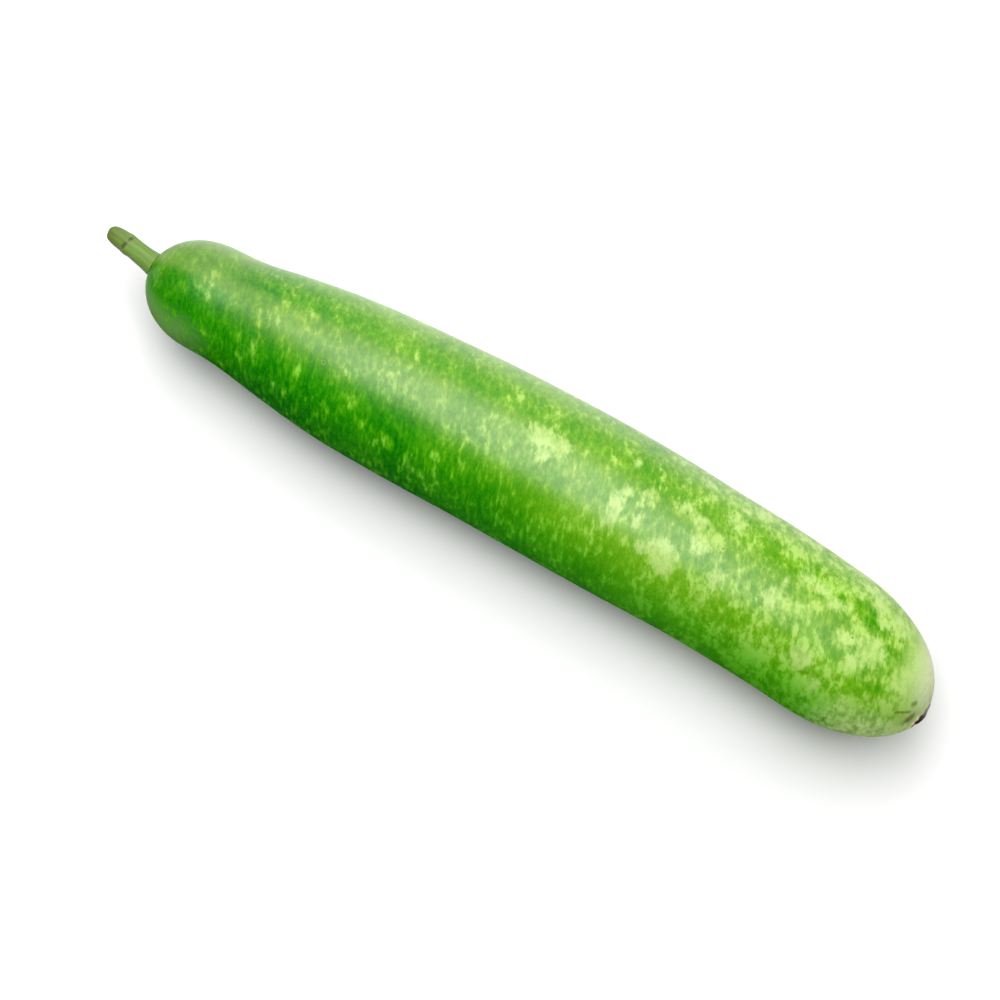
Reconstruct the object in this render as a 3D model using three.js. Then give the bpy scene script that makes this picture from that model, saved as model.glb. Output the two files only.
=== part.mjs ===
// A long bottle gourd with its cut stem, lying on its side.
// Millimetres, +Z up. The fruit runs along X, stem end at -X and blossom end at +X.
// The origin is under the middle of the whole object, on the surface that it lies on.
import * as THREE from 'three';
import { mergeVertices } from 'three/addons/utils/BufferGeometryUtils.js';

// Girth of the fruit: distance from the stem end, then radius. Both ends are rounded off.
const FRUIT_LENGTH = 420;
const GIRTH = [
  [0, 27.5],
  [45, 26.6],
  [72, 30.7],
  [102, 34.8],
  [145, 37.2],
  [200, 38.8],
  [250, 39.2],
  [300, 37.6],
  [345, 36.5],
  [385, 35.8],
  [420, 36.6],
];
const STEM_END_ROUNDING = 34;
const BLOSSOM_END_ROUNDING = 56;

// Middle line of the fruit: distance from the stem end, sideways bow, and height above the belly's.
const MIDDLE_LINE = [
  [0, 0, 0],
  [70, 2.1, 0],
  [140, 4.6, 0],
  [210, 6.7, 0],
  [280, 6.9, 0],
  [350, 3.8, 1.5],
  [420, -5.3, 9],
];

// A grown fruit isn't quite round: a slight oval that turns along it, and a slight third side.
const OVAL = 0.008;
const OVAL_TURN_PER_MM = 0.013;
const THIRD_SIDE = 0.004;

// The belly is pressed flat by this much where the fruit lies.
const RESTING_FLAT_DEPTH = 1.2;

// The dry scar that the flower left at the blossom end: a low dome with a thin lip of skin round it.
// It sits a little below the fruit's axis and to the side that the fruit bows from.
const SCAR_RADIUS = 6.4;
const SCAR_DOME = 1.1;
const SCAR_LIP = 0.3;
const SCAR_LIP_WIDTH = 0.8;
const SCAR_MARGIN = 2.2;
const SCAR_SIDEWAYS = -2;
const SCAR_DOWN = 2;
const SCAR_SHIFT_REACH = 24;

// The stem: distance from the fruit, then radius, from the flared foot to the cut tip.
const STEM_LENGTH = 25.7;
const STEM_GIRTH = [
  [0, 6.1],
  [2, 5.6],
  [6, 5.25],
  [11, 5.05],
  [15, 4.95],
  [20, 4.75],
  [23, 4.35],
  [25.7, 3.6],
];
const STEM_RIBS = 5;
const STEM_RIB_SHARE = 0.05;
const STEM_FOOT_HEIGHT = 4;
const NODE_RING_AT = 15.2;
const NODE_RING_HEIGHT = 0.4;
const NODE_RING_WIDTH = 1.5;
const STEM_TIP_ROUNDING = 2.2;
const STEM_CUT_SLANT = 0.22;
const STEM_CUT_REACH = 4;
const STEM_BEND = 1.25;
const STEM_SIDE_SWEEP = 4.05;
const STEM_LIFT = 1.2;
const STEM_OFF_CENTRE = 1.7;
const STEM_GAP = 0.3;

// How finely the solids are divided.
const FRUIT_SIDES = 60;
const STEM_END_RINGS = 11;
const BODY_RINGS = 44;
const BLOSSOM_END_RINGS = 13;
const SCAR_RINGS = 9;
const STEM_SIDES = 30;
const STEM_RINGS = 20;
const STEM_TIP_RINGS = 3;

const rind = new THREE.MeshStandardMaterial({
  name: 'rind',
  color: 0x5d9c33,
  roughness: 0.42,
  metalness: 0,
});
const stalk = new THREE.MeshStandardMaterial({
  name: 'stalk',
  color: 0x7f9c4a,
  roughness: 0.6,
  metalness: 0,
});

// A smooth curve through rows that each hold a place and one or more values at that place.
function smoothThrough(rows) {
  const places = rows.map((row) => row[0]);
  const values = rows.flatMap((row) => row.slice(1));
  const curve = new THREE.CubicInterpolant(places, values, rows[0].length - 1);
  return (place) => Array.from(curve.evaluate(place));
}

const girthAt = smoothThrough(GIRTH);
const middleAt = smoothThrough(MIDDLE_LINE);
const stemGirthAt = smoothThrough(STEM_GIRTH);

// How far a rounded end falls back from its pole at a given distance from the axis.
function endDepth(fromAxis, rounding, girth) {
  const share = Math.min(fromAxis / girth, 1);
  return rounding * (1 - Math.sqrt(1 - share * share));
}

// Profile points are (distance from the axis, distance along the axis), as a lathe turns them.
function stemEndProfile() {
  const points = [];
  for (let i = 0; i < STEM_END_RINGS; i++) {
    const angle = (Math.PI / 2) * (i / STEM_END_RINGS);
    const along = STEM_END_ROUNDING * (1 - Math.cos(angle));
    points.push(new THREE.Vector2(girthAt(along)[0] * Math.sin(angle), along));
  }
  return points;
}

function bodyProfile() {
  const start = STEM_END_ROUNDING;
  const end = FRUIT_LENGTH - BLOSSOM_END_ROUNDING;
  const points = [];
  for (let i = 0; i <= BODY_RINGS; i++) {
    const along = start + ((end - start) * i) / BODY_RINGS;
    points.push(new THREE.Vector2(girthAt(along)[0], along));
  }
  return points;
}

function blossomEndProfile() {
  const clearOfScar = SCAR_RADIUS + 2 * SCAR_MARGIN;
  const points = [];
  for (let i = BLOSSOM_END_RINGS - 1; i > 0; i--) {
    const angle = (Math.PI / 2) * (i / BLOSSOM_END_RINGS);
    const along = FRUIT_LENGTH - BLOSSOM_END_ROUNDING * (1 - Math.cos(angle));
    const fromAxis = girthAt(along)[0] * Math.sin(angle);
    if (fromAxis > clearOfScar) {
      points.push(new THREE.Vector2(fromAxis, along));
    }
  }
  return points;
}

// Height of the scar above the rounded end, at a distance from its middle.
function scarRelief(fromAxis) {
  const dome = SCAR_DOME * (1 - THREE.MathUtils.smoothstep(fromAxis, 0, SCAR_RADIUS));
  const lip = SCAR_LIP * Math.exp(-(((fromAxis - SCAR_RADIUS) / SCAR_LIP_WIDTH) ** 2));
  return dome + lip;
}

function scarProfile() {
  const outer = SCAR_RADIUS + SCAR_MARGIN;
  const points = [];
  for (let i = SCAR_RINGS; i >= 0; i--) {
    const fromAxis = (outer * i) / SCAR_RINGS;
    const depth = endDepth(fromAxis, BLOSSOM_END_ROUNDING, girthAt(FRUIT_LENGTH)[0]);
    points.push(new THREE.Vector2(fromAxis, FRUIT_LENGTH - depth + scarRelief(fromAxis)));
  }
  return points;
}

// The direction of the fruit's middle line at a distance from the stem end.
function directionAt(along) {
  const step = 0.5;
  const place = THREE.MathUtils.clamp(along, step, FRUIT_LENGTH - step);
  const [bowBefore, riseBefore] = middleAt(place - step);
  const [bowAfter, riseAfter] = middleAt(place + step);
  return new THREE.Vector3(2 * step, bowAfter - bowBefore, riseAfter - riseBefore).normalize();
}

// Turns a profile about the X axis, into one closed skin with its shared vertices merged.
function turned(profile, sides, quarterTurn) {
  const geometry = new THREE.LatheGeometry(profile, sides);
  geometry.rotateZ(quarterTurn);
  geometry.deleteAttribute('uv');
  geometry.deleteAttribute('normal');
  return mergeVertices(geometry);
}

// Moves every vertex of a geometry by a function that changes the vector it is given.
function reshape(geometry, change) {
  const position = geometry.getAttribute('position');
  const point = new THREE.Vector3();
  for (let i = 0; i < position.count; i++) {
    change(point.fromBufferAttribute(position, i));
    position.setXYZ(i, point.x, point.y, point.z);
  }
  geometry.computeVertexNormals();
  return geometry;
}

// Slides the scar over the rounded end to its place beside the axis.
function slideScar(point) {
  if (point.x < FRUIT_LENGTH - BLOSSOM_END_ROUNDING) {
    return;
  }
  const girth = girthAt(FRUIT_LENGTH)[0];
  const fromAxis = Math.hypot(point.y, point.z);
  const clearOfScar = SCAR_RADIUS + SCAR_MARGIN;
  const share = 1 - THREE.MathUtils.smoothstep(fromAxis, clearOfScar, SCAR_SHIFT_REACH);
  point.x += endDepth(fromAxis, BLOSSOM_END_ROUNDING, girth);
  point.y += SCAR_SIDEWAYS * share;
  point.z -= SCAR_DOWN * share;
  point.x -= endDepth(Math.hypot(point.y, point.z), BLOSSOM_END_ROUNDING, girth);
}

function growUneven(point) {
  const angle = Math.atan2(point.z, point.y);
  const oval = OVAL * Math.cos(2 * angle - OVAL_TURN_PER_MM * point.x);
  const thirdSide = THIRD_SIDE * Math.cos(3 * angle);
  point.y *= 1 + oval + thirdSide;
  point.z *= 1 + oval + thirdSide;
}

function bendAlongMiddle(point) {
  const direction = directionAt(point.x);
  const sideways = new THREE.Vector3(-direction.y, direction.x, 0).normalize();
  const upwards = new THREE.Vector3().crossVectors(direction, sideways);
  const [bow, rise] = middleAt(point.x);
  const across = point.y;
  const above = point.z;
  point.set(point.x, bow, rise).addScaledVector(sideways, across).addScaledVector(upwards, above);
}

function makeFruit() {
  const profile = [...stemEndProfile(), ...bodyProfile(), ...blossomEndProfile(), ...scarProfile()];
  const geometry = turned(profile, FRUIT_SIDES, -Math.PI / 2);
  reshape(geometry, slideScar);
  reshape(geometry, growUneven);
  reshape(geometry, bendAlongMiddle);
  geometry.computeBoundingBox();
  const restingHeight = geometry.boundingBox.min.z + RESTING_FLAT_DEPTH;
  reshape(geometry, (point) => {
    point.z = Math.max(point.z, restingHeight);
  });
  const fruit = new THREE.Mesh(geometry, rind);
  fruit.name = 'fruit';
  return fruit;
}

function stemProfile() {
  const points = [new THREE.Vector2(0, 0), new THREE.Vector2(stemGirthAt(0)[0] / 2, 0)];
  const shaft = STEM_LENGTH - STEM_TIP_ROUNDING;
  for (let i = 0; i <= STEM_RINGS; i++) {
    const along = (shaft * i) / STEM_RINGS;
    const ring = NODE_RING_HEIGHT * Math.exp(-(((along - NODE_RING_AT) / NODE_RING_WIDTH) ** 2));
    points.push(new THREE.Vector2(stemGirthAt(along)[0] + ring, along));
  }
  const tipGirth = stemGirthAt(shaft)[0] - STEM_TIP_ROUNDING;
  for (let i = 1; i <= STEM_TIP_RINGS; i++) {
    const angle = (Math.PI / 2) * (i / STEM_TIP_RINGS);
    const fromAxis = tipGirth + STEM_TIP_ROUNDING * Math.cos(angle);
    points.push(new THREE.Vector2(fromAxis, shaft + STEM_TIP_ROUNDING * Math.sin(angle)));
  }
  points.push(new THREE.Vector2(tipGirth / 2, STEM_LENGTH), new THREE.Vector2(0, STEM_LENGTH));
  return points;
}

// The stem leaves the fruit along -X. Its foot follows the rounded end that it stands on.
function shapeStem(point) {
  const angle = Math.atan2(point.z, point.y);
  const ribs = 1 + STEM_RIB_SHARE * Math.cos(STEM_RIBS * angle);
  const across = point.y * ribs;
  const above = point.z * ribs;
  const out = Math.max(-point.x, 0);
  const foot = Math.max(1 - out / STEM_FOOT_HEIGHT, 0);
  const fromAxis = Math.hypot(across + STEM_OFF_CENTRE, above);
  const seat = STEM_GAP - foot * endDepth(fromAxis, STEM_END_ROUNDING, girthAt(0)[0]);
  const nearTip = Math.max((out - STEM_LENGTH) / STEM_CUT_REACH + 1, 0);
  const cut = nearTip * STEM_CUT_SLANT * above;
  const sweep = Math.sin(STEM_BEND * Math.min(out / STEM_LENGTH, 1)) / Math.sin(STEM_BEND);
  const sideways = STEM_OFF_CENTRE + across + STEM_SIDE_SWEEP * sweep;
  point.set(-(out + seat + cut), sideways, above + STEM_LIFT * sweep);
}

function makeStem() {
  const stem = new THREE.Mesh(reshape(turned(stemProfile(), STEM_SIDES, Math.PI / 2), shapeStem), stalk);
  stem.name = 'stem';
  stem.quaternion.setFromUnitVectors(new THREE.Vector3(1, 0, 0), directionAt(0));
  return stem;
}

const laid = new THREE.Group();
laid.add(makeFruit(), makeStem());
const box = new THREE.Box3().setFromObject(laid, true);
const middle = box.getCenter(new THREE.Vector3());
laid.position.set(-middle.x, -middle.y, -box.min.z);

const gourd = new THREE.Group();
gourd.add(laid);

export default gourd;
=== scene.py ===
import math

import bmesh
import bpy
import numpy as np
from mathutils import Euler, Matrix, Vector, noise
from mathutils.bvhtree import BVHTree


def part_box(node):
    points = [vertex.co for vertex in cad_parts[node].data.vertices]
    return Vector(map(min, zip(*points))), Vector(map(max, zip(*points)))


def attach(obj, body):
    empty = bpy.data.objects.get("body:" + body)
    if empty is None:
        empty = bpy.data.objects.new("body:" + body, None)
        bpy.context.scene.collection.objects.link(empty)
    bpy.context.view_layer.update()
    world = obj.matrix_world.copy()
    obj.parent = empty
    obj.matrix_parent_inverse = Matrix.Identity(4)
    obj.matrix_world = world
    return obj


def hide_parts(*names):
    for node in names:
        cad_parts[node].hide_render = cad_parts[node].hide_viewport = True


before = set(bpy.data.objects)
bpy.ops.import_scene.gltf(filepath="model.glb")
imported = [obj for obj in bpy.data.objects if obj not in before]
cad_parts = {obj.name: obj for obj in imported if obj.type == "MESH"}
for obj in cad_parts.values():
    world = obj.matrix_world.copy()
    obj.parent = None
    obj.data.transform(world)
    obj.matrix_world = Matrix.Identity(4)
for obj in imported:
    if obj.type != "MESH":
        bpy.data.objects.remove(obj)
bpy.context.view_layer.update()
scene = bpy.context.scene

# Camera.
# It looks down on the gourd from nearly overhead, a little from its near long side, with the stem end
# at the upper left and the blossom end at the lower right.
CAMERA_AZIMUTH = math.radians(30)
CAMERA_ELEVATION = math.radians(79)
CAMERA_DISTANCE = 1.208
CAMERA_TARGET = Vector((0.0034, -0.0208, 0.038))
CAMERA_LENS_MM = 92.6

camera = bpy.data.objects.new("camera", bpy.data.cameras.new("camera"))
camera.data.lens = CAMERA_LENS_MM
camera.data.sensor_width = 36
camera.data.clip_start = 0.01
camera.rotation_euler = Euler((math.pi / 2 - CAMERA_ELEVATION, 0, CAMERA_AZIMUTH))
towards_camera = camera.rotation_euler.to_matrix() @ Vector((0, 0, 1))
camera.location = CAMERA_TARGET + towards_camera * CAMERA_DISTANCE
scene.collection.objects.link(camera)
scene.camera = camera
scene.view_settings.view_transform = "Standard"

# Floor and light.
# A plain white studio table, a long softbox overhead that runs askew over the gourd and lays one broad
# soft band of light along it, a white wall behind it that lights its far side, and an even dim room.
FLOOR_SIZE = 6.0
FLOOR_LEVEL = -0.0003
FLOOR_WHITE = 0.60
FLOOR_ROUGHNESS = 0.75
FLOOR_RELIEF = 0.00002
ROOM_LIGHT = 0.12
SOFTBOX_PLACE = Vector((-0.15, 0.08, 1.50))
SOFTBOX_TURN = math.radians(-40)
SOFTBOX_LENGTH = 1.5
SOFTBOX_WIDTH = 1.15
SOFTBOX_POWER = 43
WALL_PLACE = Vector((-0.10, 1.15, 0.96))
WALL_LENGTH = 3.0
WALL_HEIGHT = 1.6
WALL_POWER = 25


class Number:
    """One number that varies over a surface. Its arithmetic adds Math nodes."""

    def __init__(self, finish, socket):
        self.finish = finish
        self.socket = socket

    def math(self, operation, *values):
        return self.finish.node("ShaderNodeMath", {"operation": operation}, dict(enumerate(values)))

    def __add__(self, other):
        return self.math("ADD", self, other)

    def __radd__(self, other):
        return self.math("ADD", other, self)

    def __sub__(self, other):
        return self.math("SUBTRACT", self, other)

    def __rsub__(self, other):
        return self.math("SUBTRACT", other, self)

    def __mul__(self, other):
        return self.math("MULTIPLY", self, other)

    def __rmul__(self, other):
        return self.math("MULTIPLY", other, self)

    def __truediv__(self, other):
        return self.math("DIVIDE", self, other)

    def __abs__(self):
        return self.math("ABSOLUTE", self)

    def at_least(self, other):
        return self.math("MAXIMUM", self, other)

    def at_most(self, other):
        return self.math("MINIMUM", self, other)


class Finish:
    """A procedural material that is put together node by node."""

    def __init__(self, name):
        self.material = bpy.data.materials.new(name)
        self.material.use_nodes = True
        self.tree = self.material.node_tree
        self.tree.nodes.clear()

    def node(self, kind, settings=None, sockets=None, output=0):
        """Adds a node, makes its settings, then fills its sockets with values or links."""
        node = self.tree.nodes.new(kind)
        for name, value in (settings or {}).items():
            if name == "stops":
                for position, colour in value[1:-1]:
                    node.color_ramp.elements.new(position).color = colour
                for element, (position, colour) in zip(node.color_ramp.elements, value):
                    element.position = position
                    element.color = colour
            else:
                setattr(node, name, value)
        for name, value in (sockets or {}).items():
            if isinstance(value, Number):
                self.tree.links.new(value.socket, node.inputs[name])
            else:
                node.inputs[name].default_value = value
        return Number(self, node.outputs[output]) if node.outputs else None

    def attribute(self, name, output):
        return self.node("ShaderNodeAttribute", {"attribute_name": name}, output=output)

    def vectors(self, operation, first, second, output=0):
        """Vector maths on two vectors."""
        return self.node("ShaderNodeVectorMath", {"operation": operation}, {0: first, 1: second}, output)

    def stretch(self, vector, scale):
        return self.vectors("MULTIPLY", vector, scale)

    def distance(self, vector, place):
        return self.vectors("DISTANCE", vector, place, output=1)

    def streak(self, vector, start, end):
        """Distance from the straight line between two places."""
        run = end - start
        away = self.vectors("SUBTRACT", vector, start)
        share = self.vectors("DOT_PRODUCT", away, run / run.length_squared, output=1)
        share = share.at_least(0).at_most(1)
        nearest = self.node("ShaderNodeVectorMath", {"operation": "SCALE"}, {0: run, "Scale": share})
        return self.distance(away, nearest)

    def noise(self, vector, detail):
        """Soft noise with one wave for each whole step of the vector."""
        return self.node("ShaderNodeTexNoise", {}, {"Vector": vector, "Scale": 1.0, "Detail": detail})

    def ramp(self, value, start, end, low=0.0, high=1.0):
        """A smooth step: low where the value is at start or before, high where it is at end or past."""
        settings = {"interpolation_type": "SMOOTHSTEP"}
        sockets = {0: value, 1: start, 2: end, 3: low, 4: high}
        return self.node("ShaderNodeMapRange", settings, sockets)

    def mix(self, factor, first, second, blend="MIX"):
        """Blends two colours."""
        sockets = {0: factor, 6: first, 7: second}
        return self.node("ShaderNodeMix", {"data_type": "RGBA", "blend_type": blend}, sockets, output=2)

    def surface(self, sockets, relief):
        """Ends the material in one Principled shader, over a fine relief that is given in metres."""
        bump = self.node("ShaderNodeBump", {}, {"Height": relief, "Distance": 1.0, "Strength": 1.0})
        shader = self.node("ShaderNodeBsdfPrincipled", {}, {**sockets, "Normal": bump})
        self.node("ShaderNodeOutputMaterial", {}, {"Surface": shader})
        return self.material


table = Finish("white_table")
table_grain = table.noise(table.node("ShaderNodeTexCoord", output=3), detail=3.0)
table_white = (FLOOR_WHITE, FLOOR_WHITE, FLOOR_WHITE, 1)
table_shade = (FLOOR_WHITE * 0.99, FLOOR_WHITE * 0.99, FLOOR_WHITE * 0.985, 1)
table_colour = table.mix(table_grain, table_white, table_shade)
table.surface({"Base Color": table_colour, "Roughness": FLOOR_ROUGHNESS}, table_grain * FLOOR_RELIEF)
floor_shape = bmesh.new()
bmesh.ops.create_grid(floor_shape, x_segments=1, y_segments=1, size=FLOOR_SIZE / 2)
bmesh.ops.translate(floor_shape, verts=floor_shape.verts, vec=(0, 0, FLOOR_LEVEL))
floor = bpy.data.objects.new("floor", bpy.data.meshes.new("floor"))
floor_shape.to_mesh(floor.data)
floor_shape.free()
floor.data.materials.append(table.material)
scene.collection.objects.link(floor)

room = bpy.data.worlds.new("room")
room.use_nodes = True
room.node_tree.nodes["Background"].inputs["Color"].default_value = (1, 1, 1, 1)
room.node_tree.nodes["Background"].inputs["Strength"].default_value = ROOM_LIGHT
scene.world = room


def add_light(name, place, turn, length, width, power):
    """A rectangular light that faces the gourd, its long side turned by an angle from the X axis."""
    light = bpy.data.objects.new(name, bpy.data.lights.new(name, "AREA"))
    light.data.shape = "RECTANGLE"
    light.data.size = length
    light.data.size_y = width
    light.data.energy = power
    light.visible_camera = False
    back = place.normalized()
    side = Vector((math.cos(turn), math.sin(turn), 0))
    side = (side - back * side.dot(back)).normalized()
    light.rotation_euler = Matrix((side, back.cross(side), back)).transposed().to_euler()
    light.location = place
    scene.collection.objects.link(light)


add_light("softbox", SOFTBOX_PLACE, SOFTBOX_TURN, SOFTBOX_LENGTH, SOFTBOX_WIDTH, SOFTBOX_POWER)
add_light("rear_wall", WALL_PLACE, 0, WALL_LENGTH, WALL_HEIGHT, WALL_POWER)

# Fruit.
# The grown rind of a long bottle gourd: waxy, satin, mid green with fine light flecks that run round the
# girth, and with ragged pale patches that gather towards the blossom end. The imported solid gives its
# form, and the live skin adds the slight waves, puckers and pores of a grown fruit.
MERGE_DISTANCE = 1e-5
FRUIT_LEVELS = 2
TABLE_CONTACT = 1e-5
BELLY_HEIGHT = 0.039
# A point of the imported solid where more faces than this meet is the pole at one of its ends.
POLE_FACES = 20
# Waves of the rind: their length and their height in metres.
FRUIT_WAVES = (
    (0.070, 0.00042),
    (0.028, 0.00018),
    (0.011, 0.00006),
)
FOOT_PUCKER = 0.00030
FOOT_PUCKER_COUNT = 9
FOOT_PUCKER_REACH = 0.007
SCAR_RADIUS = 0.0064
SCAR_PUCKER = 0.00022
SCAR_PUCKER_COUNT = 13
SCAR_PUCKER_REACH = 0.006
SCAR_CRUMB = 0.00016
SCAR_CRUMB_SIZE = 0.0012

# Pale patches on the rind: millimetres along from the middle of the gourd, degrees round from its top
# towards the near side, length along and width round in millimetres, and how pale they are.
PALE_PATCHES = (
    (12, -12, 26, 12, 1.0),
    (19, -12, 14, 12, 0.8),
    (14, -2, 8, 12, 0.9),
    (54, 7, 9, 24, 1.0),
    (55, -7, 7, 9, 0.8),
    (65, -12, 9, 11, 0.5),
    (66, 8, 4, 12, 0.7),
    (82, 16, 19, 11, 1.0),
    (86, 25, 11, 12, 0.9),
    (97, 2, 10, 10, 0.6),
    (91, -15, 10, 9, 0.8),
    (92, -2, 8, 7, 0.7),
    (106, -32, 16, 14, 0.7),
    (82, -19, 12, 8, 0.6),
    (87, -52, 14, 10, 0.7),
    (110, 15, 10, 16, 0.5),
    (115, -56, 12, 14, 1.0),
    (107, -47, 9, 8, 0.8),
    (73, 22, 9, 8, 0.9),
    (53, -29, 6, 8, 0.5),
    (136, 7, 13, 15, 1.0),
    (138, -8, 6, 9, 0.7),
    (162, -12, 13, 11, 0.9),
    (145, -20, 10, 16, 0.7),
    (153, -16, 12, 9, 0.9),
    (167, -12, 9, 8, 0.9),
    (186, -19, 15, 9, 0.9),
    (176, -47, 22, 12, 1.0),
    (186, 6, 19, 20, 1.0),
    (174, 6, 16, 8, 0.8),
    (160, 33, 19, 16, 0.9),
    (181, 18, 10, 12, 0.6),
    (187, 51, 12, 14, 0.7),
    (171, 46, 9, 18, 0.7),
    (194, -26, 16, 15, 1.0),
    (181, -29, 14, 12, 0.6),
    (206, 12, 14, 20, 0.8),
    (208, -6, 10, 16, 0.7),
    (137, -60, 22, 12, 0.8),
    (165, -62, 24, 16, 0.9),
    (20, 150, 30, 30, 0.8),
    (110, 120, 26, 34, 0.9),
    (-60, 165, 20, 24, 0.6),
    (70, -150, 30, 26, 0.9),
    (160, 175, 40, 40, 1.0),
)
# Islands of plain green among the pale clouds of the blossom half, listed the same way.
GREEN_ISLANDS = (
    (162, 4, 16, 14, 1.0),
    (172, 19, 12, 8, 0.8),
    (175, -19, 9, 12, 0.4),
    (186, 33, 22, 11, 1.0),
    (195, 29, 12, 9, 0.8),
    (178, 41, 10, 12, 1.0),
    (155, 52, 20, 18, 1.0),
    (123, -34, 18, 13, 1.0),
    (106, -18, 10, 10, 1.0),
    (147, -4, 10, 10, 1.0),
    (157, 15, 9, 8, 0.8),
    (127, 33, 16, 12, 1.0),
    (197, -3, 13, 7, 0.5),
    (204, -32, 8, 10, 0.7),
    (137, -18, 14, 12, 0.8),
    (197, 50, 14, 9, 0.6),
)
# Clusters of light strokes near the stem end, listed the same way.
LIGHT_CLUSTERS = (
    (-140, 41, 6, 14, 1.0),
    (-128, -17, 7, 8, 1.0),
    (-134, 12, 5, 10, 0.8),
    (-163, 16, 6, 8, 0.3),
    (-174, 29, 5, 9, 0.7),
    (-106, 42, 6, 13, 1.0),
    (-132, 58, 5, 10, 0.7),
    (-80, 44, 7, 11, 0.9),
    (-118, 100, 7, 12, 0.8),
    (-90, -110, 8, 12, 0.8),
)


def merged_copy(node):
    """A node's mesh with its doubles merged and its triangles joined back into four-sided faces."""
    shape = bmesh.new()
    shape.from_mesh(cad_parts[node].data)
    bmesh.ops.remove_doubles(shape, verts=shape.verts, dist=MERGE_DISTANCE)
    bmesh.ops.join_triangles(
        shape, faces=shape.faces, angle_face_threshold=math.pi, angle_shape_threshold=math.pi
    )
    return shape


def add_piece(shape, name, levels):
    """Makes an object of a bmesh, smoothed by a subdivision surface that is then part of its mesh."""
    coarse = bpy.data.objects.new(name, bpy.data.meshes.new(name))
    shape.to_mesh(coarse.data)
    shape.free()
    scene.collection.objects.link(coarse)
    smoother = coarse.modifiers.new("smooth", "SUBSURF")
    smoother.levels = levels
    smoother.render_levels = levels
    ready = coarse.evaluated_get(bpy.context.evaluated_depsgraph_get())
    coarse_mesh = coarse.data
    fine_mesh = bpy.data.meshes.new_from_object(ready)
    coarse.modifiers.clear()
    coarse.data = fine_mesh
    bpy.data.meshes.remove(coarse_mesh)
    coarse.data.shade_smooth()
    return coarse


def give_attribute(piece, name, kind, values):
    """Stores one value or vector for each vertex of a piece, for its material to read."""
    layer = piece.data.attributes.new(name, kind, "POINT")
    layer.data.foreach_set("vector" if kind == "FLOAT_VECTOR" else "value", values.ravel())


fruit_shape = merged_copy("fruit")
poles = [v.co.copy() for v in fruit_shape.verts if len(v.link_faces) > POLE_FACES]
poles.sort(key=lambda co: co.x)
stem_seat, scar_middle = poles[0], poles[-1]
rind = BVHTree.FromBMesh(fruit_shape)
fruit = add_piece(fruit_shape, "gourd_fruit", FRUIT_LEVELS)


def fruit_relief(place):
    """Height of the living rind over its plain form at a place on it."""
    height = sum(size * noise.noise(place / wave) for wave, size in FRUIT_WAVES)
    from_seat = place - stem_seat
    angle = math.atan2(from_seat.z, from_seat.y)
    fade = math.exp(-((from_seat.length / FOOT_PUCKER_REACH) ** 2) / 2)
    height += FOOT_PUCKER * fade * math.cos(FOOT_PUCKER_COUNT * angle)
    from_scar = place - scar_middle
    outside = from_scar.length - SCAR_RADIUS
    if outside < 0:
        height += SCAR_CRUMB * noise.noise(place / SCAR_CRUMB_SIZE)
    angle = math.atan2(from_scar.z, from_scar.y)
    fade = math.exp(-abs(outside) / SCAR_PUCKER_REACH)
    return height + SCAR_PUCKER * fade * math.cos(SCAR_PUCKER_COUNT * angle + math.sin(2 * angle))


def raise_rind():
    """Moves each vertex of the fruit out or in by the relief there, and keeps it on the table."""
    skin = bmesh.new()
    skin.from_mesh(fruit.data)
    skin.normal_update()
    for vert, normal in [(v, v.normal.copy()) for v in skin.verts]:
        on_table = vert.co.z < TABLE_CONTACT
        vert.co += normal * fruit_relief(vert.co)
        vert.co.z = 0 if on_table else max(vert.co.z, 0)
    skin.to_mesh(fruit.data)
    skin.free()


raise_rind()


def on_rind(along_mm, turn_degrees):
    """The point of the rind at a distance along the gourd and an angle round it from the top."""
    turn = math.radians(turn_degrees)
    start = Vector((along_mm / 1000, 0, BELLY_HEIGHT))
    return rind.ray_cast(start, Vector((0, -math.sin(turn), math.cos(turn))))[0]


def patch_field(places, patches):
    """How deep inside the nearest patch each place is: highest in its middle, 0 at its edge."""
    field = np.full(len(places), -1.0)
    for along, turn, length, width, strength in patches:
        away = places - np.array(on_rind(along, turn))
        lengthways = away[:, 0] / (length / 2000)
        sideways = np.hypot(away[:, 1], away[:, 2]) / (width / 2000)
        field = np.maximum(field, strength * (1 - np.hypot(lengthways, sideways)))
    return field


places = np.zeros(len(fruit.data.vertices) * 3)
fruit.data.vertices.foreach_get("co", places)
places = places.reshape(-1, 3)
give_attribute(fruit, "pale_patch", "FLOAT", patch_field(places, PALE_PATCHES))
give_attribute(fruit, "green_island", "FLOAT", patch_field(places, GREEN_ISLANDS))
give_attribute(fruit, "light_cluster", "FLOAT", patch_field(places, LIGHT_CLUSTERS))

# The rind's own place: distance measured along the skin from the stem end, then across and up, so that
# flecks keep their size over both rounded ends. The first is slanted, as the strokes lean a little.
# Its side runs from -1 at the near edge of the fruit to 1 at the far edge.
STROKE_LEAN = 0.28
SLICE = 0.002
slices = np.arange(places[:, 0].min(), places[:, 0].max() + SLICE, SLICE)
slice_of = np.digitize(places[:, 0], slices) - 1
widths = np.zeros(len(slices))
middles = np.zeros(len(slices))
for i in np.unique(slice_of):
    slice_low, slice_high = places[slice_of == i, 1].min(), places[slice_of == i, 1].max()
    widths[i] = slice_high - slice_low
    middles[i] = (slice_high + slice_low) / 2
skin_steps = np.hypot(SLICE, np.diff(widths, prepend=0) / 2)
skin_along = np.interp(places[:, 0], slices, np.cumsum(skin_steps))
skin_along = skin_along + STROKE_LEAN * places[:, 1]
skin_place = np.column_stack((skin_along, places[:, 1], places[:, 2]))
give_attribute(fruit, "skin_place", "FLOAT_VECTOR", skin_place)
side_values = (places[:, 1] - middles[slice_of]) / np.maximum(widths[slice_of] / 2, SLICE)
give_attribute(fruit, "side", "FLOAT", side_values)

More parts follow.
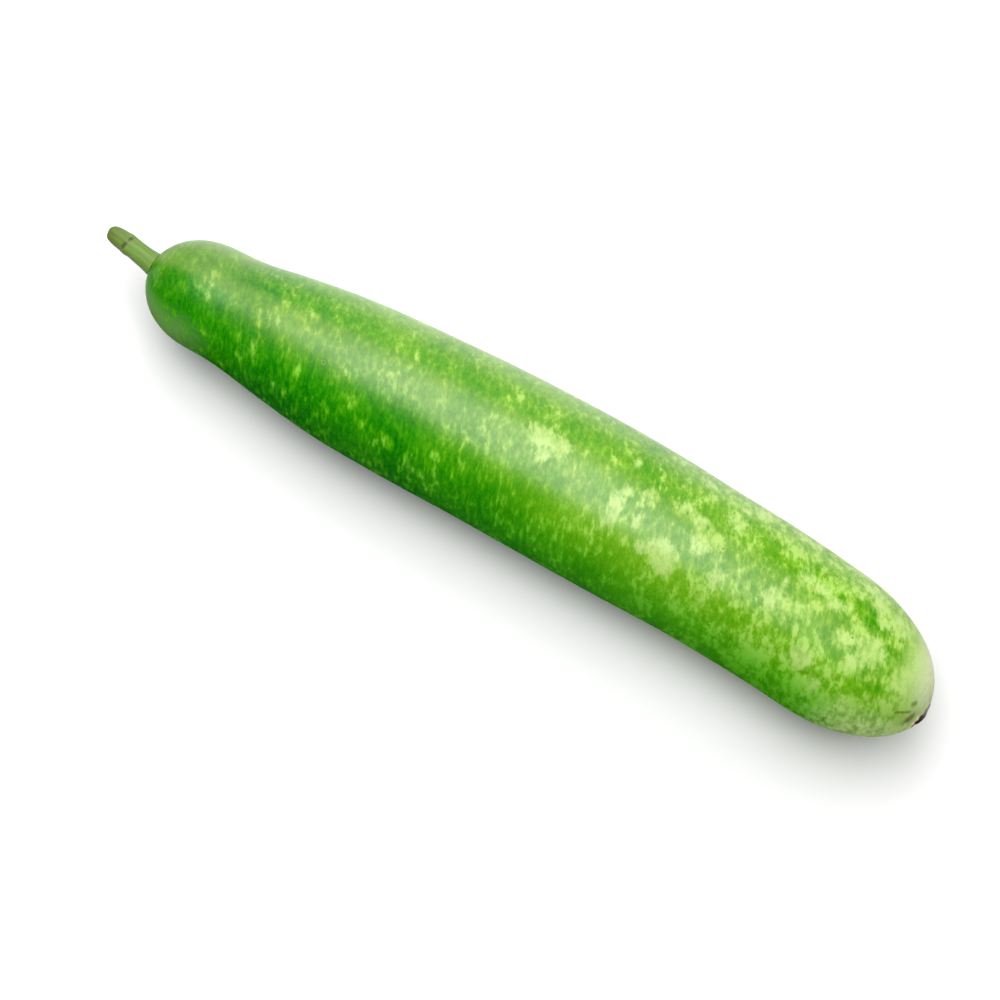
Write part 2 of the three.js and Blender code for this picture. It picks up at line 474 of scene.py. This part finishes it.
# The rind's greens, from its deepest tone to the palest of its mottling.
RIND_TONES = (
    (0.00, (0.0005, 0.062, 0.0005, 1)),
    (0.18, (0.006, 0.115, 0.001, 1)),
    (0.36, (0.028, 0.166, 0.002, 1)),
    (0.55, (0.068, 0.212, 0.003, 1)),
    (0.72, (0.112, 0.260, 0.008, 1)),
    (0.86, (0.160, 0.318, 0.024, 1)),
    (1.00, (0.220, 0.380, 0.055, 1)),
)
# Painted shade multiplied into the near side's green.
NEAR_SIDE_PAINTED_SHADE = (0.6, 1.14, 0.4, 1)
# Painted shade multiplied into the low near side.
UNDERSIDE_PAINTED_SHADE = (0.36, 0.88, 0.15, 1)
PALE_LIME = (0.300, 0.435, 0.118, 1)
PALE_SHADE = (0.225, 0.365, 0.078, 1)
RIND_ROUGHNESS = 0.42
RIND_GLOSS = 0.0
WAX_AMOUNT = 0.66
WAX_ROUGHNESS = 0.32
FLECK_RELIEF = 0.00006
GRAIN_RELIEF = 0.00003
PORE_DEPTH = 0.0002
# Grey of the wax bloom along the top, which also holds a painted highlight.
BLOOM_AND_HIGHLIGHT_GREY = (0.350, 0.350, 0.140, 1)
# Grey of the blossom end's waxy far rim, partly the skin's own grey and partly a painted reflection.
GREY_BEIGE = (0.560, 0.580, 0.400, 1)
# Pale lime of a painted reflection of the floor on the blossom end's near rim.
PAINTED_REFLECTION_LIME = (0.560, 0.720, 0.270, 1)
# Grey-green of a painted rim sheen.
PAINTED_RIM_SHEEN_GREY = (0.270, 0.440, 0.140, 1)
# Grey of a painted sheen along the far flank.
PAINTED_SHEEN_GREY = (0.460, 0.480, 0.320, 1)
SCAR_BROWN = (0.040, 0.022, 0.024, 1)
SCAR_GREY = (0.260, 0.235, 0.190, 1)
SCAR_CREAM = (0.620, 0.570, 0.280, 1)
STAIN_BROWN = (0.100, 0.076, 0.010, 1)
OLIVE_STAIN = (0.085, 0.130, 0.008, 1)
PORE_BROWN = (0.035, 0.040, 0.012, 1)
# Waves per metre of each kind of mottling: along the skin, across and up.
BROAD_WAVES = (34, 24, 24)
CLUMP_WAVES = (110, 75, 75)
FLECK_WAVES = (430, 230, 230)
STROKE_WAVES = (500, 165, 165)
GRAIN_WAVES = (1100, 650, 650)
# Where the skin changes round the flower scar, in metres from the scar's middle: the start and the end of
# each change. The waxy grey skin, partly a painted reflection, is measured from a middle of its own, on the
# scar's far side.
SCAR_EDGE = (0.0076, 0.0066)
CREAM_EDGE = (0.0102, 0.0086)
DRY_EDGE = (0.0080, 0.0050)
WAXY_REFLECTION_MIDDLE = Vector((-0.0060, 0.0155, 0.0045))
WAXY_REFLECTION_PALE_EDGE = (0.032, 0.014)
WAXY_REFLECTION_GREY_EDGE = (0.026, 0.005)
# Pores: millimetres along, degrees round, and the pit's radius in millimetres.
PORES = (
    (-146, 7, 0.4),
    (-96, 19, 0.7),
    (-115, -27, 0.4),
    (106, -6, 0.7),
    (130, 12, 0.5),
    (176, 4, 0.6),
    (190, -21, 0.4),
    (20, 95, 0.8),
    (-70, 130, 0.9),
    (85, -110, 0.8),
    (150, 160, 0.9),
    (-20, -140, 0.8),
)
PORE_HALO = 2.2
# Stains and scratches: millimetres along and degrees round at both ends, half width in metres, colour
# and strength.
MARKS = (
    ((217.0, 47), (217.8, 43), 0.0020, STAIN_BROWN, 0.80),
    ((215.8, 51), (216.6, 49), 0.0018, STAIN_BROWN, 0.40),
    ((210.0, 39.5), (215.4, 37.5), 0.0008, OLIVE_STAIN, 0.80),
    ((215.2, 29), (215.8, 28), 0.0013, OLIVE_STAIN, 0.75),
    ((162.8, 42), (166.9, 39), 0.0006, OLIVE_STAIN, 0.50),
    ((151.9, -31), (157.4, -36), 0.0008, OLIVE_STAIN, 0.35),
    ((177.1, 34), (178.5, 33), 0.0009, OLIVE_STAIN, 0.35),
)

rind_finish = Finish("gourd_rind")
place = rind_finish.node("ShaderNodeTexCoord", output=3)
skin = rind_finish.attribute("skin_place", 1)
along = rind_finish.node("ShaderNodeSeparateXYZ", {}, {0: place})
across = rind_finish.node("ShaderNodeSeparateXYZ", {}, {0: place}, output=1)
height = rind_finish.node("ShaderNodeSeparateXYZ", {}, {0: place}, output=2)
side = rind_finish.attribute("side", 2)

# Mottling: wide clouds, clumps, flecks that on the near side stretch into short strokes round the girth,
# and a fine grain.
broad = rind_finish.noise(rind_finish.stretch(skin, BROAD_WAVES), detail=1.0)
clump = rind_finish.noise(rind_finish.stretch(skin, CLUMP_WAVES), detail=2.0)
fleck = rind_finish.noise(rind_finish.stretch(skin, FLECK_WAVES), detail=1.5)
stroke = rind_finish.noise(rind_finish.stretch(skin, STROKE_WAVES), detail=1.0)
grain = rind_finish.noise(rind_finish.stretch(skin, GRAIN_WAVES), detail=1.0)
near_side = rind_finish.ramp(across, -0.002, -0.028)
# Painted shade: the near side is darkened, fully over the stem half and a quarter as much at the blossom
# end.
near_side_painted_shade = near_side * rind_finish.ramp(along, 0.10, -0.08, 0.25, 1.0)
far_side = rind_finish.ramp(across, 0.0, 0.030)
# Painted shade: low on the near side the tone drops further.
low_side_painted_shade = near_side * rind_finish.ramp(height, 0.054, 0.030)
mottle = fleck + (stroke - fleck) * near_side * rind_finish.ramp(along, 0.14, 0.02)
clustered = rind_finish.ramp(clump, 0.36, 0.62, 0.2, 1.0)
# Painted shade: the tone drops on the near side and low on it; the next line lifts the near side again
# towards the blossom end.
tone = 0.51 + rind_finish.ramp(along, -0.21, 0.20, -0.05, 0.06) - near_side_painted_shade * 0.16 - low_side_painted_shade * 0.16
tone = tone + near_side * rind_finish.ramp(along, -0.10, 0.14) * 0.24
stem_end = rind_finish.ramp(along, -0.13, -0.17)
# Painted light: a lighter band on the near shoulder, from the middle into the blossom half, at the lower
# edge of the band of light.
shoulder_painted_light = rind_finish.ramp(side, -0.50, -0.38) * rind_finish.ramp(side, -0.18, -0.30)
tone = tone + shoulder_painted_light * rind_finish.ramp(along, -0.06, 0.0) * rind_finish.ramp(along, 0.16, 0.08) * 0.09
tone = tone - rind_finish.ramp(along, -0.09, -0.14) * rind_finish.ramp(side, 0.2, 0.45) * 0.05
tone = tone - rind_finish.ramp(along, 0.0, -0.06) * rind_finish.ramp(side, -0.45, -0.25) * 0.04
# Painted light: the far flank is lighter from the middle on, and a little darker over the head.
tone = tone + far_side * rind_finish.ramp(along, -0.20, -0.05, -0.05, 0.10)
tone = tone + (broad - 0.5) * 0.4 + (clump - 0.5) * 0.4 + (mottle - 0.5) * 0.45 + (grain - 0.5) * 0.35
freckle = rind_finish.ramp(mottle, 0.45, 0.70) * clustered * rind_finish.ramp(along, -0.20, -0.06, 0.5, 1.0)
freckle = freckle * (1 - far_side * rind_finish.ramp(along, 0.0, -0.08) * 0.5)
tone = tone + freckle * (0.18 + near_side_painted_shade * 0.14)
cluster = rind_finish.attribute("light_cluster", 2).at_least(-0.3) + (mottle - 0.5) * 2.0
tone = tone + rind_finish.ramp(cluster, -0.2, 0.9) * 0.17

# Pale clouds that thicken towards the blossom end, with islands of plain green, and ragged patches.
ragged = (clump - 0.5) * 1.6 + (mottle - 0.5) * 1.3 + (grain - 0.5) * 0.7
crowding = rind_finish.ramp(along, 0.02, 0.200, -0.85, 0.25)
island = rind_finish.attribute("green_island", 2).at_least(0.0)
cloud = rind_finish.ramp(crowding + (clump - 0.5) * 1.6 + ragged - island * 1.8, -0.6, 0.85)
patch = rind_finish.ramp(rind_finish.attribute("pale_patch", 2) * 1.3 + ragged * 0.7, -0.15, 0.80)
tone = tone + cloud * 0.28 - island * 0.12
pale = (patch * 0.86).at_least(cloud * 0.35)

rind_colour = rind_finish.node("ShaderNodeValToRGB", {"stops": RIND_TONES}, {"Fac": tone})
# Painted shade: the near side's colour is multiplied darker.
rind_colour = rind_finish.mix(near_side_painted_shade, rind_colour, NEAR_SIDE_PAINTED_SHADE, "MULTIPLY")
pale_grain = rind_finish.ramp(mottle + (grain - 0.5) * 0.5, 0.3, 0.6)
pale_colour = rind_finish.mix(pale_grain, PALE_SHADE, PALE_LIME)
rind_colour = rind_finish.mix(pale, rind_colour, pale_colour)
end_cap = rind_finish.ramp(along, -0.170, -0.205).at_least(rind_finish.ramp(along, 0.170, 0.205))
# Painted shade: the low near side, from the middle to the blossom end and short of the end caps, is
# multiplied darker.
underside_painted_shade = rind_finish.ramp(side, -0.50, -0.98) * rind_finish.ramp(along, -0.10, 0.02) * (1 - end_cap)
rind_colour = rind_finish.mix(underside_painted_shade, rind_colour, UNDERSIDE_PAINTED_SHADE, "MULTIPLY")

# A thin grey bloom along the top, thicker in the stem half and spread over the head's far side, that is
# partly the fruit's wax bloom and partly a painted highlight over the band of light; a painted grey-green
# rim sheen low on the head's near side and on the stem half's far rim; and a faint painted grey sheen along
# the far flank.
bloom_and_painted_highlight = rind_finish.ramp(side, 0.40, 0.22) * rind_finish.ramp(side, -0.50, 0.05)
bloom_and_painted_highlight = bloom_and_painted_highlight * rind_finish.ramp(along, 0.04, -0.06, 0.10, 0.15) * rind_finish.ramp(along, 0.20, 0.16)
bloom_and_painted_highlight = bloom_and_painted_highlight * (1 - stem_end) + stem_end * rind_finish.ramp(side, -0.10, 0.20) * 0.20
rind_colour = rind_finish.mix(bloom_and_painted_highlight, rind_colour, BLOOM_AND_HIGHLIGHT_GREY)
# Painted sheen: a grey-green rim low on the head's near side and along the stem half's far rim.
head_rim_painted_sheen = rind_finish.ramp(side + (clump - 0.5) * 0.35 + (mottle - 0.5) * 0.35, -0.55, -1.0) * 0.45
head_rim_painted_sheen = head_rim_painted_sheen * rind_finish.ramp(along, -0.145, -0.178)
top_rim_painted_sheen = rind_finish.ramp(side, 0.72, 0.98) * rind_finish.ramp(along, 0.06, -0.06) * 0.30
rind_colour = rind_finish.mix(head_rim_painted_sheen.at_least(top_rim_painted_sheen), rind_colour, PAINTED_RIM_SHEEN_GREY)
# Painted sheen: a faint grey along the far flank.
far_painted_sheen = rind_finish.ramp(side + (mottle - 0.5) * 0.2, 0.42, 0.76) * 0.11
rind_colour = rind_finish.mix(far_painted_sheen, rind_colour, PAINTED_SHEEN_GREY)

# Pores, each a small dark pit in a pale ring.
pit_mask = 0.0
halo_mask = 0.0
for pore_along, pore_turn, pore_radius in PORES:
    from_pore = rind_finish.distance(place, on_rind(pore_along, pore_turn))
    pit = rind_finish.ramp(from_pore, pore_radius / 800, pore_radius / 1600)
    halo = rind_finish.ramp(from_pore, pore_radius * PORE_HALO / 1000, pore_radius / 1000)
    pit_mask = pit.at_least(pit_mask)
    halo_mask = halo.at_least(halo_mask)
rind_colour = rind_finish.mix(halo_mask * 0.3, rind_colour, PALE_LIME)
rind_colour = rind_finish.mix(pit_mask * 0.55, rind_colour, PORE_BROWN)

# The blossom end: grey waxy skin over its far rim that is partly a painted reflection of the white
# surroundings, a painted pale reflection of the floor along its near rim, olive and brown stains beside the
# scar, a cream edge on the scar's near side, and the dark dry scar, greyer at its far end.
# The pale and grey far rim of the blossom end is partly the skin's own colour and partly a painted
# reflection of the white surroundings.
from_rim = rind_finish.distance(place, scar_middle + WAXY_REFLECTION_MIDDLE)
from_rim = from_rim + (clump - 0.5) * 0.012 + (mottle - 0.5) * 0.008
rind_colour = rind_finish.mix(rind_finish.ramp(from_rim, *WAXY_REFLECTION_PALE_EDGE) * 0.7, rind_colour, PALE_LIME)
waxy_grey_and_reflection = rind_finish.ramp(mottle + (clump - 0.5) * 0.8 + (grain - 0.5) * 0.4, 0.25, 0.70, 0.50, 0.88)
waxy_grey_and_reflection = waxy_grey_and_reflection * rind_finish.ramp(from_rim, *WAXY_REFLECTION_GREY_EDGE)
rind_colour = rind_finish.mix(waxy_grey_and_reflection, rind_colour, GREY_BEIGE)
# Painted reflection: a pale rim of floor light low along the blossom end's near side.
near_rim_painted_reflection = rind_finish.ramp(along + (mottle - 0.5) * 0.04, 0.165, 0.215)
near_rim_painted_reflection = near_rim_painted_reflection * rind_finish.ramp(side + (clump - 0.5) * 0.6, -0.60, -0.95)
near_rim_painted_reflection = near_rim_painted_reflection * rind_finish.ramp(ragged, -0.5, 0.4, 0.45, 1.0)
rind_colour = rind_finish.mix(near_rim_painted_reflection * 0.75, rind_colour, PAINTED_REFLECTION_LIME)
for start, end, half_width, mark_colour, strength in MARKS:
    from_mark = rind_finish.streak(place, on_rind(*start), on_rind(*end)) / half_width
    mark = rind_finish.ramp(from_mark + (grain - 0.5) * 0.6 + (clump - 0.5) * 0.8, 1.7, 0.1)
    rind_colour = rind_finish.mix(mark * strength, rind_colour, mark_colour)
from_scar = rind_finish.distance(place, scar_middle) + (clump - 0.5) * 0.0005
far_lip = rind_finish.ramp(across, scar_middle.y + 0.001, scar_middle.y + 0.005)
near_edge = rind_finish.ramp(across, scar_middle.y + 0.002, scar_middle.y - 0.003)
cream = rind_finish.ramp(from_scar, *CREAM_EDGE) * near_edge
rind_colour = rind_finish.mix(cream, rind_colour, SCAR_CREAM)
scar_grey = rind_finish.ramp(across, scar_middle.y - 0.002, scar_middle.y + 0.004)
scar_colour = rind_finish.mix(scar_grey, SCAR_BROWN, SCAR_GREY)
scar = rind_finish.ramp(from_scar - far_lip * 0.0010, *SCAR_EDGE)
rind_colour = rind_finish.mix(scar, rind_colour, scar_colour)

# The gloss: a coat of wax, full along the top and thickest on the far flank. It thins low on the near
# side, over the head and towards the blossom end, and is gone on the dry scar.
dry = rind_finish.ramp(from_scar, *DRY_EDGE)
wax = rind_finish.ramp(side, -0.68, -0.26, 0.05, 1.0).at_least(end_cap * 0.8)
wax = wax * rind_finish.ramp(along, 0.08, 0.16, 1.0, 0.35) * rind_finish.ramp(tone, 0.35, 0.70, 0.75, 1.0)
thin_wax = rind_finish.ramp(side, 0.15, 0.30) * rind_finish.ramp(along, 0.0, 0.06) * 0.3
top_of_head = stem_end * (1 - end_cap) * 0.3
wax = wax - (thin_wax + top_of_head) * rind_finish.ramp(side, 0.74, 0.60)
wax = (wax.at_least(0) + rind_finish.ramp(side, 0.58, 0.80) * 0.4) * (1 - dry)
rind_relief = mottle * FLECK_RELIEF + grain * GRAIN_RELIEF - pit_mask * PORE_DEPTH
rind_sockets = {
    "Base Color": rind_colour,
    "Roughness": RIND_ROUGHNESS + (grain - 0.5) * 0.08 + dry * 0.2,
    "Specular IOR Level": RIND_GLOSS,
    "Coat Weight": wax * WAX_AMOUNT,
    "Coat Roughness": WAX_ROUGHNESS,
}
fruit.data.materials.clear()
fruit.data.materials.append(rind_finish.surface(rind_sockets, rind_relief))
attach(fruit, "root")
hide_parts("fruit")

# Stem.
# The cut stub of the fruit stalk: fibrous, five soft ribs, one node ring and a blunt tip that dried
# where it was cut. It is grown onto the fruit, so its foot sinks into the rind.
STEM_LEVELS = 2
STEM_SLICE = 0.001
STEM_SINK = 0.0009
STEM_SINK_REACH = 0.003
STEM_GROOVES = 15
STEM_GROOVE_DEPTH = 0.00002
STEM_WAVE = 0.005
STEM_WAVE_HEIGHT = 0.00012

stem = add_piece(merged_copy("stem"), "gourd_stem", STEM_LEVELS)
stem_low, stem_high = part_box("stem")
stem_places = np.zeros(len(stem.data.vertices) * 3)
stem.data.vertices.foreach_get("co", stem_places)
stem_places = stem_places.reshape(-1, 3)
stem_slices = np.arange(stem_low.x, stem_high.x, STEM_SLICE)
stem_middle = np.array([
    stem_places[np.abs(stem_places[:, 0] - x) < 1.5 * STEM_SLICE, 1:].mean(axis=0) for x in stem_slices
])
stem_across = stem_places[:, 1] - np.interp(stem_places[:, 0], stem_slices, stem_middle[:, 0])
stem_above = stem_places[:, 2] - np.interp(stem_places[:, 0], stem_slices, stem_middle[:, 1])
stem_turn = np.arctan2(stem_above, stem_across)
out_from_fruit = stem_high.x - stem_places[:, 0]

stem_skin = bmesh.new()
stem_skin.from_mesh(stem.data)
stem_skin.normal_update()
stem_skin.verts.ensure_lookup_table()
for i, normal in enumerate([v.normal.copy() for v in stem_skin.verts]):
    vert = stem_skin.verts[i]
    groove = STEM_GROOVE_DEPTH * math.cos(STEM_GROOVES * stem_turn[i])
    wave = STEM_WAVE_HEIGHT * noise.noise(vert.co / STEM_WAVE)
    vert.co += normal * (groove + wave)
    vert.co.x += STEM_SINK * max(1 - out_from_fruit[i] / STEM_SINK_REACH, 0)
stem_skin.to_mesh(stem.data)
stem_skin.free()

# The stalk's own place: distance out from the fruit, then across and up on a round stalk of even width.
STEM_RADIUS = 0.0049
fibre_place = np.column_stack((
    out_from_fruit, STEM_RADIUS * np.cos(stem_turn), STEM_RADIUS * np.sin(stem_turn)
))
give_attribute(stem, "fibre_place", "FLOAT_VECTOR", fibre_place)

STALK_OLIVE = (0.078, 0.150, 0.016, 1)
STALK_PALE = (0.110, 0.198, 0.030, 1)
STALK_TIP = (0.075, 0.102, 0.014, 1)
STALK_SPECK = (0.014, 0.017, 0.002, 1)
STALK_NODE = (0.075, 0.085, 0.025, 1)
STALK_ROUGHNESS = 0.52
STALK_GLOSS = 0.3
STALK_RELIEF = 0.00008
FIBRE_WAVES = (90, 700, 700)
BLOTCH_WAVES = (260, 260, 260)
NODE_RING_AT = 0.0162
NODE_RING_LEAN = 0.32
# The dry bud scars on the node, each from one angle to another in degrees round from the far side,
# through the top, with a half width in millimetres.
BUD_SCARS = (
    (58, 74, 0.75),
    (104, 120, 0.75),
    (198, 212, 0.8),
    (295, 305, 0.7),
)

stalk_finish = Finish("gourd_stalk")
fibre_at = stalk_finish.attribute("fibre_place", 1)
out = stalk_finish.node("ShaderNodeSeparateXYZ", {}, {0: fibre_at})
fibre = stalk_finish.noise(stalk_finish.stretch(fibre_at, FIBRE_WAVES), detail=2.0)
blotch = stalk_finish.noise(stalk_finish.stretch(fibre_at, BLOTCH_WAVES), detail=3.0)
stalk_colour = stalk_finish.mix(stalk_finish.ramp(fibre, 0.20, 0.80), STALK_OLIVE, STALK_PALE)
near_tip = stalk_finish.ramp(out + (blotch - 0.5) * 0.008, 0.012, 0.027)
stalk_colour = stalk_finish.mix(near_tip * 0.8, stalk_colour, STALK_TIP)
fibre_side = stalk_finish.node("ShaderNodeSeparateXYZ", {}, {0: fibre_at}, output=1)
ring_at = NODE_RING_AT - fibre_side * NODE_RING_LEAN
from_ring = abs(out - ring_at) + (blotch - 0.5) * 0.0020
ring = stalk_finish.ramp(from_ring, 0.0010, 0.0001) * stalk_finish.ramp(blotch, 0.30, 0.60, 0.4, 1.0)
stalk_colour = stalk_finish.mix(ring * 0.65, stalk_colour, STALK_NODE)
for start_turn, end_turn, half_width in BUD_SCARS:
    bud_ends = []
    for turn in (math.radians(start_turn), math.radians(end_turn)):
        bud_across = STEM_RADIUS * math.cos(turn)
        bud_above = STEM_RADIUS * math.sin(turn)
        bud_ends.append(Vector((NODE_RING_AT - bud_across * NODE_RING_LEAN, bud_across, bud_above)))
    from_bud = stalk_finish.streak(fibre_at, *bud_ends) * 1000 / half_width + (blotch - 0.5) * 1.6
    bud = stalk_finish.ramp(from_bud, 1.9, 0.0)
    stalk_colour = stalk_finish.mix(bud * 0.75, stalk_colour, STALK_SPECK)
stalk_relief = fibre * STALK_RELIEF + blotch * STALK_RELIEF
stalk_sockets = {
    "Base Color": stalk_colour,
    "Roughness": STALK_ROUGHNESS + (fibre - 0.5) * 0.2,
    "Specular IOR Level": STALK_GLOSS,
}
stem.data.materials.clear()
stem.data.materials.append(stalk_finish.surface(stalk_sockets, stalk_relief))
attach(stem, "root")
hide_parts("stem")
